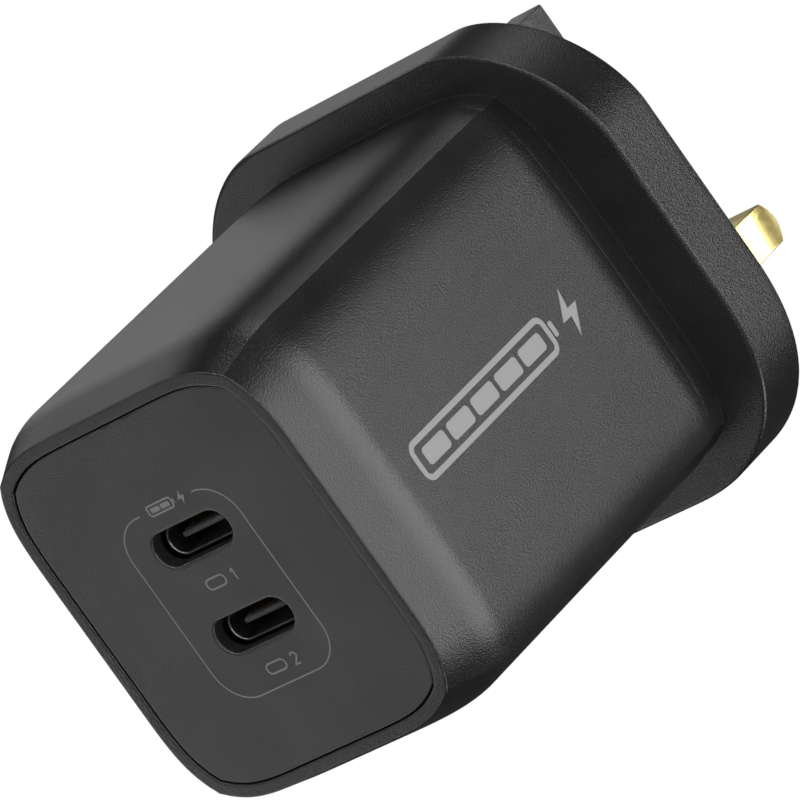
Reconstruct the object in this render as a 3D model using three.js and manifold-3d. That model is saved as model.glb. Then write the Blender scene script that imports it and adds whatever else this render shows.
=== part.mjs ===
// USB wall charger: two stacked USB-C ports in a tall black body on a three-pin plug base.
//
// Millimetres, +Z up. The origin lies on the engagement face of the plug, midway between the line and
// neutral pins. +Y points into the socket, so the pins run along +Y and the port face looks along -Y.
// +X is to the right of someone facing the ports. All outlines are drawn in the XZ plane.

import * as THREE from 'three';
import { mergeVertices } from 'three/addons/utils/BufferGeometryUtils.js';
import Module from 'manifold-3d';

const wasm = await Module();
wasm.setup();

// ---------------------------------------------------------------------------------------------------
// Driving dimensions
// ---------------------------------------------------------------------------------------------------

// Clearances
const fitGap = 0.3; // between two moulded pieces
const seatGap = 0.15; // between a component and the board or pin that it is fixed to
const panelToShell = 0.25; // back of the port panel to the front of a receptacle
const overcut = 1; // how far a cutting solid passes beyond what it cuts
const jointOverlap = 0.5; // how far two parts of one piece run into each other

// Plug pins, set by the socket standard
const pinSpacing = 22.22; // between the centres of the line and neutral pins
const pinWidth = 6.35;
const pinThickness = 3.98;
const pinLength = 17.4; // beyond the engagement face
const pinCoreWidth = 5.1; // the necked part inside the sleeve
const pinCoreThickness = 2.7;
const pinNose = 0.9; // length of the bevelled end
const sleeveLength = 9.2; // beyond the engagement face
const earthPinHeight = 22.23; // from the line and neutral pins up to the earth pin's centre
const earthPinWidth = 4.0;
const earthPinThickness = 8.0;
const earthPinLength = 22.4;
const earthNeckInset = 0.4; // side of the neck that the pin plate holds, inside the side of the pin
const pinTail = 4.2; // behind the engagement face

// Body
const bodyDepth = 51.7; // engagement face to port face
const bodyWidth = 37.5;
const bodyHeight = 39.9;
const bodyTopMargin = 2.27; // body top above the earth pin's upper side
const bodyFlat = 1.0; // half of the straight part of each side
const bodyPower = 5.0; // fullness of the corners, 2 is a circular arc
const faceInset = 1.9; // body side to port face side, across the width
const faceInsetHeight = 1.6; // the same, across the height
const faceFlatWidth = 5.0; // half of the straight part
const faceFlatHeight = 6.5;
const facePower = 3.5;
const flareLength = 6.6; // depth over which the body widens behind the port face
const flareStraight = 0.5; // share of the flare that is a plane slope, before it rounds off
const wall = 1.8;

// Port face
const rimWidth = 1.15; // housing rim around the inset panel
const panelRecess = 0.1;
const panelThickness = 1.5;
const ledgeWidth = 1.3; // shelf behind the panel
const ledgeThickness = 1.2;

// USB-C ports
const portOffsetX = 0.45; // ports right of the body's middle
const portOffsetZ = 0.36; // middle of the pair above the body's middle
const portPitch = 9.1;
const slotWidth = 9.3;
const slotHeight = 3.35;
const shellWidth = 8.94;
const shellHeight = 3.16;
const shellWall = 0.3;
const shellLength = 8.0;
const tongueWidth = 6.69;
const tongueThickness = 0.7;
const tongueLength = 4.5;
const tongueSetback = 0.8; // shell front to tongue front

// Plug base
const flangeDepth = 6.35;
const flangeSideOverhang = 6.27; // beyond the body, each side
const flangeTopOverhang = 3.25;
const flangeBottomOverhang = 3.2;
const flangeTopReach = 13.3; // how far a top corner runs along each side
const flangeTopPower = 1.74;
const flangeBottomReach = 16.8;
const flangeBottomPower = 2.32;
const flangeWall = 1.8;
const collarDepth = 2.45;
const collarInset = 0.15; // collar side inside the body side
const spigotWall = 1.2;
const spigotLength = 2.4;
const plateThickness = 2.4;
const skirtWall = 1.2;
const bossWall = 1.6; // plastic around a pin's tail

// Boards
const boardThickness = 1.2;
const mainBoardLift = 3.4; // cavity floor to the main board, room for the parts below it
const portBoardWidth = 29;
const portBoardHeight = 31;
const railLength = 22;
const railThickness = 1.0;
const railGrip = 0.6; // how far rails and stops reach over a board's edge
const stopHeight = 8; // of the stops that hold the port board
const inductorGap = 2.2; // clear space between a receptacle and its inductor
const powerChipX = -9.5;
const powerChipLift = 6; // above the body's middle
const transistorX = 5;
const controlChipX = -5;

// Transformer
const coreWidth = 16.5;
const coreDepth = 12.4;
const coreHeight = 16.6;
const coreYoke = 3.2; // thickness of the top and bottom yokes
const coreLeg = 5.0; // width of the centre leg
const coreOuterLeg = 2.7;
const bobbinWall = 0.7;
const bobbinFlange = 0.6;

// Standing components
const bulkDiameter = 9;
const bulkHeight = 22;
const outputDiameter = 5;
const outputHeight = 9;
const xCapacitorSize = new THREE.Vector3(5, 10, 10);
const yCapacitorDiameter = 5.8;
const yCapacitorThickness = 3.0;
const fuseDiameter = 3.4;
const fuseHeight = 8.5;
const chokeDiameter = 11;
const chokeBore = 4.6;
const chokeThickness = 5;
const cardThickness = 0.3;
const cardHeight = 23;
const inductorSize = new THREE.Vector3(7, 4, 6.6);
const spreaderThickness = 0.5;
const spreaderLift = 1; // its lower edge above the parts' seats

// Components below and behind the boards
const bridgeSize = new THREE.Vector3(8, 6, 1.5);
const transistorSize = new THREE.Vector3(8, 8, 0.9);
const controlChipSize = new THREE.Vector3(5, 6, 1.5);
const powerChipSize = new THREE.Vector3(5, 0.9, 5);
const leadWidth = 3.0;
const leadThickness = 0.5;
const leadFoot = 1.2; // how far a lead's foot lies along the main board
const canBevel = 0.4;
const chokeBevel = 0.7;

// Smoothness
const cornerSteps = 10;
const roundSteps = 24;

// ---------------------------------------------------------------------------------------------------
// Derived places
// ---------------------------------------------------------------------------------------------------

const portFaceY = -bodyDepth;
const seamY = -(flangeDepth + collarDepth);
const bodyTop = earthPinHeight + earthPinThickness / 2 + bodyTopMargin;
const bodyMiddle = bodyTop - bodyHeight / 2;

const pocketDepth = panelRecess + panelThickness + fitGap;
const ledgeBackY = portFaceY + pocketDepth + ledgeThickness;
const shellFrontY = portFaceY + panelRecess + panelThickness + panelToShell;
const portBoardFrontY = shellFrontY + shellLength + seatGap;
const portBoardBackY = portBoardFrontY + boardThickness;
const portX = portOffsetX;
const portZs = [1, -1].map((side) => bodyMiddle + portOffsetZ + (side * portPitch) / 2);

// ---------------------------------------------------------------------------------------------------
// Solids
// ---------------------------------------------------------------------------------------------------

// Turns a closed geometry into a solid that can be joined and cut.
function toSolid(geometry) {
  const bare = geometry.clone();
  bare.deleteAttribute('normal');
  bare.deleteAttribute('uv');
  const merged = mergeVertices(bare, 1e-4);
  return new wasm.Manifold(
    new wasm.Mesh({
      numProp: 3,
      vertProperties: new Float32Array(merged.attributes.position.array),
      triVerts: new Uint32Array(merged.index.array),
    }),
  );
}

function toGeometry(solid) {
  const mesh = solid.getMesh();
  const geometry = new THREE.BufferGeometry();
  geometry.setAttribute('position', new THREE.BufferAttribute(mesh.vertProperties, 3));
  geometry.setIndex(new THREE.BufferAttribute(mesh.triVerts, 1));
  geometry.computeVertexNormals();
  return geometry;
}

// One corner of an outline: a quarter of a superellipse, from the side to the end of the outline.
function cornerPoints(centreX, centreZ, reachX, reachZ, power, quarter, steps) {
  const points = [];
  const signX = quarter === 0 || quarter === 3 ? 1 : -1;
  const signZ = quarter < 2 ? 1 : -1;
  for (let step = 0; step <= steps; step += 1) {
    const share = quarter % 2 === 0 ? step / steps : 1 - step / steps;
    const angle = (share * Math.PI) / 2;
    const along = Math.max(Math.cos(angle), 0) ** (2 / power);
    const up = Math.max(Math.sin(angle), 0) ** (2 / power);
    points.push(new THREE.Vector2(centreX + signX * reachX * along, centreZ + signZ * reachZ * up));
  }
  return points;
}

// Counter-clockwise outline with straight sides and superelliptic corners. `top` and `bottom` each give
// the height of that side, how far its corners run, and their power.
function outline(halfWidth, top, bottom, steps = cornerSteps) {
  const corners = [
    [1, top],
    [-1, top],
    [-1, bottom],
    [1, bottom],
  ];
  return corners.flatMap(([side, edge], quarter) => {
    const centreX = side * (halfWidth - edge.reachX);
    const centreZ = edge.z - (quarter < 2 ? 1 : -1) * edge.reachZ;
    return cornerPoints(centreX, centreZ, edge.reachX, edge.reachZ, edge.power, quarter, steps);
  });
}

// Outline of the body or the port face, moved inward by `inset`.
function bodyOutline({ halfWidth, halfHeight, flatWidth, flatHeight, power }, inset = 0) {
  const reachX = halfWidth - flatWidth - inset;
  const reachZ = halfHeight - flatHeight - inset;
  const top = { z: bodyMiddle + halfHeight - inset, reachX, reachZ, power };
  const bottom = { z: bodyMiddle - halfHeight + inset, reachX, reachZ, power };
  return outline(halfWidth - inset, top, bottom);
}

// Outline of the plug's flange, moved inward by `inset`.
function flangeOutline(inset = 0) {
  const topReach = flangeTopReach - inset;
  const bottomReach = flangeBottomReach - inset;
  return outline(
    bodyWidth / 2 + flangeSideOverhang - inset,
    { z: bodyTop + flangeTopOverhang - inset, reachX: topReach, reachZ: topReach, power: flangeTopPower },
    {
      z: bodyTop - bodyHeight - flangeBottomOverhang + inset,
      reachX: bottomReach,
      reachZ: bottomReach,
      power: flangeBottomPower,
    },
  );
}

// Slot or tube end: a rectangle with half-round ends.
function stadium(x, z, width, height) {
  const radius = height / 2;
  const flat = (width - height) / 2;
  const ends = [0, 1, 2, 3].map((quarter) => {
    const side = quarter === 0 || quarter === 3 ? 1 : -1;
    return cornerPoints(x + side * flat, z, radius, radius, 2, quarter, 5);
  });
  // The two quarters of an end share their middle point.
  return [...ends[0], ...ends[1], ...ends[2].slice(1), ...ends[3].slice(0, -1)];
}

function rectangle(x0, x1, z0, z1) {
  return [
    new THREE.Vector2(x1, z0),
    new THREE.Vector2(x1, z1),
    new THREE.Vector2(x0, z1),
    new THREE.Vector2(x0, z0),
  ];
}

// Closed skin through outlines that have the same number of points, each at its own depth along Y.
function loft(sections) {
  const count = sections[0].points.length;
  const positions = sections.flatMap(({ y, points }) => points.flatMap((point) => [point.x, y, point.y]));
  const index = [];
  for (let ring = 0; ring + 1 < sections.length; ring += 1) {
    for (let corner = 0; corner < count; corner += 1) {
      const near = ring * count + corner;
      const nearNext = ring * count + ((corner + 1) % count);
      index.push(near, near + count, nearNext, nearNext, near + count, nearNext + count);
    }
  }
  const lastRing = (sections.length - 1) * count;
  for (const [a, b, c] of THREE.ShapeUtils.triangulateShape(sections[0].points, [])) {
    index.push(a, b, c);
  }
  for (const [a, b, c] of THREE.ShapeUtils.triangulateShape(sections.at(-1).points, [])) {
    index.push(lastRing + a, lastRing + c, lastRing + b);
  }
  const geometry = new THREE.BufferGeometry();
  geometry.setAttribute('position', new THREE.Float32BufferAttribute(positions, 3));
  geometry.setIndex(index);
  geometry.computeVertexNormals();
  return geometry;
}

// Straight prism along Y.
function prism(points, y0, y1) {
  return toSolid(loft([{ y: y0, points }, { y: y1, points }]));
}

function box(x0, x1, y0, y1, z0, z1) {
  return prism(rectangle(x0, x1, z0, z1), y0, y1);
}

// Box that stands on `base`, centred at x and y.
function standingBox(size, x, y, base) {
  return box(x - size.x / 2, x + size.x / 2, y - size.y / 2, y + size.y / 2, base, base + size.z);
}

// Round can that stands on `base`, with a small bevel at both ends.
function standingCan(diameter, height, x, y, base) {
  const radius = diameter / 2;
  const profile = [
    new THREE.Vector2(0, 0),
    new THREE.Vector2(radius - canBevel, 0),
    new THREE.Vector2(radius, canBevel),
    new THREE.Vector2(radius, height - canBevel),
    new THREE.Vector2(radius - canBevel, height),
    new THREE.Vector2(0, height),
  ];
  const can = new THREE.LatheGeometry(profile, roundSteps);
  can.rotateX(Math.PI / 2);
  can.translate(x, y, base);
  return toSolid(can);
}

// ---------------------------------------------------------------------------------------------------
// Assembly
// ---------------------------------------------------------------------------------------------------

const charger = new THREE.Group();
charger.name = 'usb_wall_charger';

const looks = {
  blackPlastic: { color: 0x242425, roughness: 0.62, metalness: 0 },
  slickPlastic: { color: 0x1b1b1c, roughness: 0.45, metalness: 0 },
  brass: { color: 0xd9b75a, roughness: 0.25, metalness: 1 },
  steel: { color: 0x8f9296, roughness: 0.35, metalness: 1 },
  copper: { color: 0xb4713f, roughness: 0.35, metalness: 1 },
  board: { color: 0x1e5b34, roughness: 0.6, metalness: 0 },
  ferrite: { color: 0x34322f, roughness: 0.8, metalness: 0 },
  winding: { color: 0xd7b52c, roughness: 0.5, metalness: 0 },
  sleeve: { color: 0x23324d, roughness: 0.45, metalness: 0 },
  film: { color: 0x8b8f94, roughness: 0.5, metalness: 0 },
  disc: { color: 0x2f6fa8, roughness: 0.5, metalness: 0 },
  card: { color: 0xd8d4c4, roughness: 0.7, metalness: 0 },
  chip: { color: 0x18181a, roughness: 0.6, metalness: 0 },
};

function addPiece(name, look, solid) {
  const mesh = new THREE.Mesh(toGeometry(solid), new THREE.MeshStandardMaterial({ ...looks[look] }));
  mesh.name = name;
  charger.add(mesh);
}

// --- Housing: one moulding, open at the back, with a pocket for the port panel at the front ----------

const bodySection = {
  halfWidth: bodyWidth / 2,
  halfHeight: bodyHeight / 2,
  flatWidth: bodyFlat,
  flatHeight: bodyFlat,
  power: bodyPower,
};
const faceSection = {
  halfWidth: bodyWidth / 2 - faceInset,
  halfHeight: bodyHeight / 2 - faceInsetHeight,
  flatWidth: faceFlatWidth,
  flatHeight: faceFlatHeight,
  power: facePower,
};

// How far the flare has opened, 0 to 1: a plane slope that ends in a parabola tangent to the side wall.
function flareShare(depth) {
  const share = Math.min(depth / flareLength, 1);
  const slope = 2 / (1 + flareStraight);
  const past = Math.max(share - flareStraight, 0);
  return slope * share - (slope * past ** 2) / (2 * (1 - flareStraight));
}

function sectionAt(depth) {
  const share = flareShare(depth);
  const mix = (key) => THREE.MathUtils.lerp(faceSection[key], bodySection[key], share);
  return Object.fromEntries(Object.keys(bodySection).map((key) => [key, mix(key)]));
}

const flareSteps = 8;
const flareDepths = Array.from({ length: flareSteps + 1 }, (_, step) => (flareLength * step) / flareSteps);
const leastStep = 0.2; // shortest step between two sections of a skin

function bodySkin(inset, y0, y1) {
  const depths = [y0 - portFaceY, ...flareDepths.filter((depth) => portFaceY + depth > y0 + leastStep)];
  const sections = depths.map((depth) => ({
    y: portFaceY + depth,
    points: bodyOutline(sectionAt(depth), inset),
  }));
  sections.push({ y: y1, points: bodyOutline(bodySection, inset) });
  return toSolid(loft(sections));
}

// Half width at a height of the body's outline moved inward by `inset`, for whatever reaches or clears it.
function insideHalfWidth(z, inset) {
  const reachX = bodySection.halfWidth - bodyFlat - inset;
  const reachZ = bodySection.halfHeight - bodyFlat - inset;
  const rise = Math.max((Math.abs(z - bodyMiddle) - bodyFlat) / reachZ, 0);
  return bodyFlat + reachX * (1 - rise ** bodyPower) ** (1 / bodyPower);
}

const cavityFloor = bodyMiddle - bodyHeight / 2 + wall;
const boardFloor = cavityFloor + mainBoardLift;
const boardTop = boardFloor + boardThickness;
const spigotBoreInset = wall + fitGap + spigotWall;
const mainBoardHalfWidth = insideHalfWidth(boardFloor, spigotBoreInset) - 2 * fitGap;
const partsHalfWidth = mainBoardHalfWidth - railGrip - fitGap; // room for parts on the board
const mainBoardFrontY = portBoardBackY + fitGap;
const mainBoardBackY = -(flangeDepth + fitGap);

function housing() {
  const pocket = prism(bodyOutline(faceSection, rimWidth), portFaceY - overcut, portFaceY + pocketDepth);
  const window = prism(bodyOutline(faceSection, rimWidth + ledgeWidth), portFaceY, ledgeBackY + overcut);
  const cavity = bodySkin(wall, ledgeBackY, seamY + overcut);
  let shell = bodySkin(0, portFaceY, seamY - fitGap / 2);
  shell = shell.subtract(pocket).subtract(window).subtract(cavity);
  const portWallMiddle = insideHalfWidth(bodyMiddle, wall / 2);
  const railY = mainBoardFrontY + fitGap;
  for (const side of [-1, 1]) {
    // Rails below and above each long edge of the main board.
    const edge = side * (mainBoardHalfWidth - railGrip);
    for (const z of [boardFloor - fitGap - railThickness, boardTop + fitGap]) {
      const wallMiddle = insideHalfWidth(z + railThickness / 2, wall / 2);
      const [x0, x1] = [edge, side * wallMiddle].sort((a, b) => a - b);
      shell = shell.add(box(x0, x1, railY, railY + railLength, z, z + railThickness));
    }
    // Stops in front of and behind each side of the port board.
    const stop = side * (portBoardWidth / 2 - railGrip);
    const [x0, x1] = [stop, side * portWallMiddle].sort((a, b) => a - b);
    const [z0, z1] = [bodyMiddle - stopHeight / 2, bodyMiddle + stopHeight / 2];
    for (const y of [portBoardFrontY - fitGap - railThickness, portBoardBackY + fitGap]) {
      shell = shell.add(box(x0, x1, y, y + railThickness, z0, z1));
    }
  }
  return shell;
}
addPiece('housing', 'blackPlastic', housing());

// --- Port panel: flat plate that sits in the rim, with a slot for each port --------------------------

function portPanel() {
  const frontY = portFaceY + panelRecess;
  let panel = prism(bodyOutline(faceSection, rimWidth + fitGap), frontY, frontY + panelThickness);
  for (const z of portZs) {
    const slot = stadium(portX, z, slotWidth, slotHeight);
    panel = panel.subtract(prism(slot, frontY - overcut, frontY + panelThickness + overcut));
  }
  return panel;
}
addPiece('port_panel', 'slickPlastic', portPanel());

// --- USB-C receptacles: a drawn steel shell around a plastic tongue and its base ----------------------

portZs.forEach((z, place) => {
  const number = place + 1;
  const shellBackY = shellFrontY + shellLength;
  const inner = stadium(portX, z, shellWidth - 2 * shellWall, shellHeight - 2 * shellWall);
  const shell = prism(stadium(portX, z, shellWidth, shellHeight), shellFrontY, shellBackY).subtract(
    prism(inner, shellFrontY - overcut, shellBackY + overcut),
  );
  addPiece(`usb_c_shell_${number}`, 'steel', shell);

  const tongueFrontY = shellFrontY + tongueSetback;
  const baseFrontY = tongueFrontY + tongueLength;
  const clear = 2 * (shellWall + seatGap / 2);
  const base = prism(stadium(portX, z, shellWidth - clear, shellHeight - clear), baseFrontY, shellBackY);
  const tongue = box(
    portX - tongueWidth / 2,
    portX + tongueWidth / 2,
    tongueFrontY,
    baseFrontY + jointOverlap,
    z - tongueThickness / 2,
    z + tongueThickness / 2,
  );
  addPiece(`usb_c_tongue_${number}`, 'chip', base.add(tongue));
});

// --- Port board: stands across the body and carries both receptacles ----------------------------------

addPiece(
  'port_board',
  'board',
  box(
    -portBoardWidth / 2,
    portBoardWidth / 2,
    portBoardFrontY,
    portBoardBackY,
    bodyMiddle - portBoardHeight / 2,
    bodyMiddle + portBoardHeight / 2,
  ),
);

const inductorY = portBoardFrontY - seatGap - inductorSize.y / 2;
[1, -1].forEach((side, place) => {
  const middle = portZs[place] + side * (shellHeight / 2 + inductorGap + inductorSize.z / 2);
  addPiece(
    `output_inductor_${place + 1}`,
    'ferrite',
    standingBox(inductorSize, portX, inductorY, middle - inductorSize.z / 2),
  );
});

const powerChipY = portBoardBackY + seatGap + powerChipSize.y / 2;
addPiece(
  'power_delivery_chip',
  'chip',
  standingBox(powerChipSize, powerChipX, powerChipY, bodyMiddle + powerChipLift),
);

// --- Main board: lies near the floor, from the port board back into the plug base ---------------------

addPiece(
  'main_board',
  'board',
  box(-mainBoardHalfWidth, mainBoardHalfWidth, mainBoardFrontY, mainBoardBackY, boardFloor, boardTop),
);

const seatZ = boardTop + seatGap;

// --- Transformer: ferrite core with two windows, a bobbin on its centre leg, and the winding ----------

const windingReach = (coreWidth - coreLeg) / 2 - coreOuterLeg - bobbinWall - 3 * seatGap;
const transformerDepth = coreDepth + 2 * (bobbinWall + windingReach + 2 * seatGap);
const transformerX = partsHalfWidth - coreWidth / 2 - spreaderThickness - seatGap;
const transformerY = mainBoardFrontY + fitGap + transformerDepth / 2;
const windowHeight = coreHeight - 2 * coreYoke;

function ring(outerX, outerY, innerX, innerY, z0, z1) {
  const [x, y] = [transformerX, transformerY];
  const outer = box(x - outerX, x + outerX, y - outerY, y + outerY, z0, z1);
  const hole = box(x - innerX, x + innerX, y - innerY, y + innerY, z0 - overcut, z1 + overcut);
  return outer.subtract(hole);
}

const coreBase = seatZ;
function transformerCore() {
  let core = standingBox(
    new THREE.Vector3(coreWidth, coreDepth, coreHeight),
    transformerX,
    transformerY,
    coreBase,
  );
  const windowWidth = (coreWidth - coreLeg) / 2 - coreOuterLeg;
  for (const side of [-1, 1]) {
    const x = transformerX + side * (coreLeg / 2 + windowWidth / 2);
    core = core.subtract(
      standingBox(
        new THREE.Vector3(windowWidth, coreDepth + 2 * overcut, windowHeight),
        x,
        transformerY,
        coreBase + coreYoke,
      ),
    );
  }
  return core;
}
addPiece('transformer_core', 'ferrite', transformerCore());

const legHalfX = coreLeg / 2 + seatGap;
const legHalfY = coreDepth / 2 + seatGap;
const bobbinFloor = coreBase + coreYoke + seatGap;
const bobbinTop = coreBase + coreHeight - coreYoke - seatGap;
const windingHalfX = legHalfX + bobbinWall + seatGap + windingReach;
const windingHalfY = legHalfY + bobbinWall + seatGap + windingReach;

function transformerBobbin() {
  const outerX = legHalfX + bobbinWall;
  const outerY = legHalfY + bobbinWall;
  let bobbin = ring(outerX, outerY, legHalfX, legHalfY, bobbinFloor, bobbinTop);
  for (const z of [bobbinFloor, bobbinTop - bobbinFlange]) {
    bobbin = bobbin.add(ring(windingHalfX, windingHalfY, legHalfX, legHalfY, z, z + bobbinFlange));
  }
  return bobbin;
}
addPiece('transformer_bobbin', 'chip', transformerBobbin());

addPiece(
  'transformer_winding',
  'winding',
  ring(
    windingHalfX,
    windingHalfY,
    legHalfX + bobbinWall + seatGap,
    legHalfY + bobbinWall + seatGap,
    bobbinFloor + bobbinFlange + seatGap,
    bobbinTop - bobbinFlange - seatGap,
  ),
);

// --- Heat spreader: sheet bent over the transformer, down beside its outer leg -------------------------

const spreaderTop = coreBase + coreHeight + fitGap;
const spreaderX = transformerX + coreWidth / 2 + seatGap;
function heatSpreader() {
  const y0 = transformerY - coreDepth / 2;
  const y1 = transformerY + coreDepth / 2;
  const z1 = spreaderTop + spreaderThickness;
  const side = box(spreaderX, spreaderX + spreaderThickness, y0, y1, seatZ + spreaderLift, z1);
  const top = box(
    transformerX - coreWidth / 2,
    spreaderX + spreaderThickness / 2,
    y0,
    y1,
    spreaderTop,
    z1,
  );
  return side.add(top);
}
addPiece('heat_spreader', 'copper', heatSpreader());

// --- Insulation card between the transformer and the mains side ----------------------------------------

const cardY = transformerY + transformerDepth / 2 + fitGap;
addPiece(
  'insulation_card',
  'card',
  box(
    -partsHalfWidth,
    partsHalfWidth,
    cardY,
    cardY + cardThickness,
    seatZ,
    seatZ + cardHeight,
  ),
);

// --- Mains side: bulk capacitors, X capacitor with the choke above it, behind the card -----------------

const mainsFrontY = cardY + cardThickness + fitGap;
const bulkY = mainsFrontY + bulkDiameter / 2;
const bulkXs = [0, 1].map(
  (place) => -partsHalfWidth + bulkDiameter / 2 + place * (bulkDiameter + fitGap),
);
bulkXs.forEach((x, place) => {
  addPiece(`bulk_capacitor_${place + 1}`, 'sleeve', standingCan(bulkDiameter, bulkHeight, x, bulkY, seatZ));
});

const xCapacitorX = bulkXs[1] + bulkDiameter / 2 + fitGap + xCapacitorSize.x / 2;
const xCapacitorY = mainsFrontY + xCapacitorSize.y / 2;
addPiece('x_capacitor', 'film', standingBox(xCapacitorSize, xCapacitorX, xCapacitorY, seatZ));

function choke() {
  const radius = chokeDiameter / 2;
  const bore = chokeBore / 2;
  const half = chokeThickness / 2;
  const profile = [
    new THREE.Vector2(bore, -half + chokeBevel),
    new THREE.Vector2(bore + chokeBevel, -half),
    new THREE.Vector2(radius - chokeBevel, -half),
    new THREE.Vector2(radius, -half + chokeBevel),
    new THREE.Vector2(radius, half - chokeBevel),
    new THREE.Vector2(radius - chokeBevel, half),
    new THREE.Vector2(bore + chokeBevel, half),
    new THREE.Vector2(bore, half - chokeBevel),
    new THREE.Vector2(bore, -half + chokeBevel),
  ];
  const toroid = new THREE.LatheGeometry(profile, roundSteps);
  toroid.rotateZ(-Math.PI / 2);
  toroid.translate(xCapacitorX, mainsFrontY + radius, seatZ + xCapacitorSize.z + seatGap + radius);
  return toSolid(toroid);
}
addPiece('common_mode_choke', 'copper', choke());

// --- Low-voltage side column: output capacitors, Y capacitor and fuse, front to back -------------------

const columnX = (-partsHalfWidth + transformerX - coreWidth / 2) / 2;
let columnY = mainBoardFrontY + fitGap;
for (const number of [1, 2]) {
  const can = standingCan(outputDiameter, outputHeight, columnX, columnY + outputDiameter / 2, seatZ);
  addPiece(`output_capacitor_${number}`, 'film', can);
  columnY += outputDiameter + fitGap;
}

const yCapacitor = new THREE.CylinderGeometry(
  yCapacitorDiameter / 2,
  yCapacitorDiameter / 2,
  yCapacitorThickness,
  roundSteps,
);
yCapacitor.translate(columnX, columnY + yCapacitorThickness / 2, seatZ + yCapacitorDiameter / 2);
addPiece('y_capacitor', 'disc', toSolid(yCapacitor));
columnY += yCapacitorThickness + fitGap;

addPiece('fuse', 'film', standingCan(fuseDiameter, fuseHeight, columnX, columnY + fuseDiameter / 2, seatZ));

// --- Surface parts on the underside of the main board --------------------------------------------------

function underBoard(name, size, x, y) {
  addPiece(name, 'chip', standingBox(size, x, y, boardFloor - seatGap - size.z));
}
underBoard('bridge_rectifier', bridgeSize, 0, bulkY);
underBoard('power_transistor', transistorSize, transistorX, transformerY);
underBoard('control_chip', controlChipSize, controlChipX, transformerY);

// --- Plug shell: collar, flange front and flange sides in one moulding, open at the back ---------------

function plugShell() {
  const spigotFrontY = seamY - spigotLength;
  const collarFrontY = seamY + fitGap / 2;
  const skinFrontY = -flangeDepth + flangeWall;
  const collar = prism(bodyOutline(bodySection, collarInset), collarFrontY, -flangeDepth + jointOverlap);
  const spigot = prism(bodyOutline(bodySection, wall + fitGap), spigotFrontY, collarFrontY + jointOverlap);
  const bore = prism(bodyOutline(bodySection, spigotBoreInset), spigotFrontY - overcut, overcut);
  const hollow = prism(flangeOutline(flangeWall), skinFrontY, overcut);
  const flange = prism(flangeOutline(), -flangeDepth, 0);
  return flange.add(collar).add(spigot).subtract(hollow).subtract(bore);
}
addPiece('plug_shell', 'blackPlastic', plugShell());

// --- Pin plate: closes the back of the plug shell and holds the three pins ------------------------------

const pins = [
  { name: 'line', x: pinSpacing / 2 },
  { name: 'neutral', x: -pinSpacing / 2 },
];

const earthNeckWidth = earthPinWidth - 2 * earthNeckInset;
const earthNeckHeight = earthPinThickness - 2 * earthNeckInset;

function centredRectangle(x, z, width, height) {
  return rectangle(x - width / 2, x + width / 2, z - height / 2, z + height / 2);
}

function pinPlate() {
  const skirtFrontY = -flangeDepth + flangeWall + fitGap;
  const edge = flangeWall + fitGap;
  const recess = prism(flangeOutline(edge + skirtWall), skirtFrontY - overcut, -plateThickness);
  let plate = prism(flangeOutline(edge), skirtFrontY, 0).subtract(recess);
  const tails = pins.map(({ x }) => ({ x, z: 0, width: pinWidth, height: pinThickness }));
  tails.push({ x: 0, z: earthPinHeight, width: earthNeckWidth, height: earthNeckHeight });
  for (const { x, z, width, height } of tails) {
    const boss = centredRectangle(x, z, width + 2 * bossWall, height + 2 * bossWall);
    const hole = centredRectangle(x, z, width + 2 * seatGap, height + 2 * seatGap);
    plate = plate.add(prism(boss, -pinTail, jointOverlap - plateThickness));
    plate = plate.subtract(prism(hole, -pinTail - overcut, overcut));
  }
  return plate;
}
addPiece('pin_plate', 'blackPlastic', pinPlate());

// --- Pins: brass line and neutral in plastic sleeves, and a plastic earth pin ---------------------------

// Bar along Y whose nose is bevelled on all four sides.
function nosedBar(x, z, width, height, y0, y1) {
  const nose = { y: y1, points: centredRectangle(x, z, width - 2 * pinNose, height - 2 * pinNose) };
  const full = centredRectangle(x, z, width, height);
  return toSolid(loft([{ y: y0, points: full }, { y: y1 - pinNose, points: full }, nose]));
}

for (const { name, x } of pins) {
  const neck = centredRectangle(x, 0, pinCoreWidth, pinCoreThickness);
  const core = prism(neck, -pinTail, sleeveLength + jointOverlap);
  const blade = nosedBar(x, 0, pinWidth, pinThickness, sleeveLength + seatGap, pinLength);
  addPiece(`${name}_pin`, 'brass', core.add(blade));

  const bore = centredRectangle(x, 0, pinCoreWidth + 2 * seatGap, pinCoreThickness + 2 * seatGap);
  const sleeve = prism(centredRectangle(x, 0, pinWidth, pinThickness), -pinTail, sleeveLength);
  addPiece(
    `${name}_pin_sleeve`,
    'slickPlastic',
    sleeve.subtract(prism(bore, -pinTail - overcut, sleeveLength + overcut)),
  );

  // Lead strip: from behind the pin's tail down to a foot on the main board.
  const [x0, x1] = [x - leadWidth / 2, x + leadWidth / 2];
  const backY = -pinTail - seatGap;
  const leg = box(x0, x1, backY - leadThickness, backY, seatZ, pinCoreThickness / 2);
  const footBackY = backY - leadThickness / 2;
  const foot = box(x0, x1, mainBoardBackY - leadFoot, footBackY, seatZ, seatZ + leadThickness);
  addPiece(`${name}_lead`, 'copper', leg.add(foot));
}

// The earth pin's neck runs through the plate, and its shoulder stands just clear of the plate's back.
const earthNeck = centredRectangle(0, earthPinHeight, earthNeckWidth, earthNeckHeight);
const earthBlade = nosedBar(0, earthPinHeight, earthPinWidth, earthPinThickness, seatGap, earthPinLength);
addPiece(
  'earth_pin',
  'slickPlastic',
  earthBlade.add(prism(earthNeck, -pinTail, seatGap + jointOverlap)),
);

export default charger;
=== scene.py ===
import bpy
import numpy as np
from mathutils import Euler, Matrix, Vector
from mathutils.geometry import tessellate_polygon


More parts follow.
